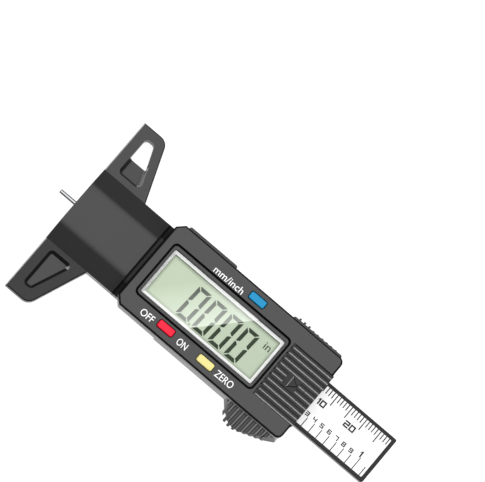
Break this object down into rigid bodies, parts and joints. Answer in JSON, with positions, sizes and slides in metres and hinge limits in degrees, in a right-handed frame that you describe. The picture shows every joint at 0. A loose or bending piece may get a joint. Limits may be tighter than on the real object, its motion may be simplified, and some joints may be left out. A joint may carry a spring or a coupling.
{
  "type": "digital tire tread depth gauge",
  "caption": "Handheld digital tread depth gauge: wide T foot, sliding scale beam with a steel probe, LCD, push buttons and a battery door.",
  "frame": {"origin": "on the measuring face, half way across the foot and half way through the foot's plate, just below the probe hole", "axes": "+X along the slider, from the measuring face to the free end of the scale beam; +Y to the wing with the through opening; +Z out of the display"},
  "size_m": [0.112, 0.0578, 0.0123],
  "materials": {
    "body_plastic": "moulded black plastic, fine satin grain",
    "bezel_plastic": "moulded dark grey plastic, fine satin grain",
    "door_plastic": "ribbed dark grey plastic",
    "beam_plastic": "moulded dark grey plastic",
    "clear_window": "clear polished plastic",
    "mask_white": "white printed border",
    "lcd_glass": "pale green reflective display",
    "lcd_segment": "dark display segments",
    "reflector_foil": "pale green reflector film",
    "zebra_rubber": "layered connector rubber",
    "board_green": "green solder mask",
    "epoxy_black": "black potting epoxy",
    "spring_steel": "bright spring steel",
    "cell_nickel": "nickel-plated steel",
    "screw_steel": "zinc-plated steel",
    "stop_brass": "turned brass",
    "probe_steel": "ground stainless steel",
    "label_white": "white printed scale label",
    "ink_black": "black printing ink",
    "ink_white": "white printing ink",
    "button_blue": "blue moulded plastic",
    "button_red": "red moulded plastic",
    "button_yellow": "yellow moulded plastic"
  },
  "bodies": {
    "gauge_body": {"frame": "body_plastic", "display_housing": "bezel_plastic", "lens_panel": "clear_window", "window_frame": "bezel_plastic", "window_mask": "mask_white", "lcd_glass": "lcd_glass", "lcd_reflector": "reflector_foil", "zebra_strip_left": "zebra_rubber", "zebra_strip_right": "zebra_rubber", "circuit_board": "board_green", "driver_chip": "epoxy_black", "dome_unit": "spring_steel", "dome_power": "spring_steel", "dome_zero": "spring_steel", "coin_cell": "cell_nickel", "battery_contact_negative": "spring_steel", "battery_contact_positive": "spring_steel", "housing_screw_front_left": "screw_steel", "housing_screw_front_right": "screw_steel", "housing_screw_rear_left": "screw_steel", "housing_screw_rear_right": "screw_steel", "travel_stop": "stop_brass", "gib_spring": "spring_steel"},
    "slider": {"beam": "beam_plastic", "grating_strip": "board_green", "scale_label": "label_white", "probe": "probe_steel"},
    "unit_button": {"button_unit": "button_blue"},
    "power_button": {"button_power": "button_red"},
    "zero_button": {"button_zero": "button_yellow"},
    "door": {"battery_door": "door_plastic"}
  },
  "joints": [
    {"name": "slider_travel", "type": "slide", "parent": "gauge_body", "child": "slider", "axis": [-1, 0, 0], "range_m": [-0.0053, 0.0201]},
    {"name": "unit_press", "type": "slide", "parent": "gauge_body", "child": "unit_button", "axis": [0, 0, -1], "range_m": [0, 0.00045]},
    {"name": "power_press", "type": "slide", "parent": "gauge_body", "child": "power_button", "axis": [0, 0, -1], "range_m": [0, 0.00045]},
    {"name": "zero_press", "type": "slide", "parent": "gauge_body", "child": "zero_button", "axis": [0, 0, -1], "range_m": [0, 0.00045]},
    {"name": "door_slide", "type": "slide", "parent": "gauge_body", "child": "door", "axis": [1, 0, 0], "range_m": [0, 0.017]}
  ]
}
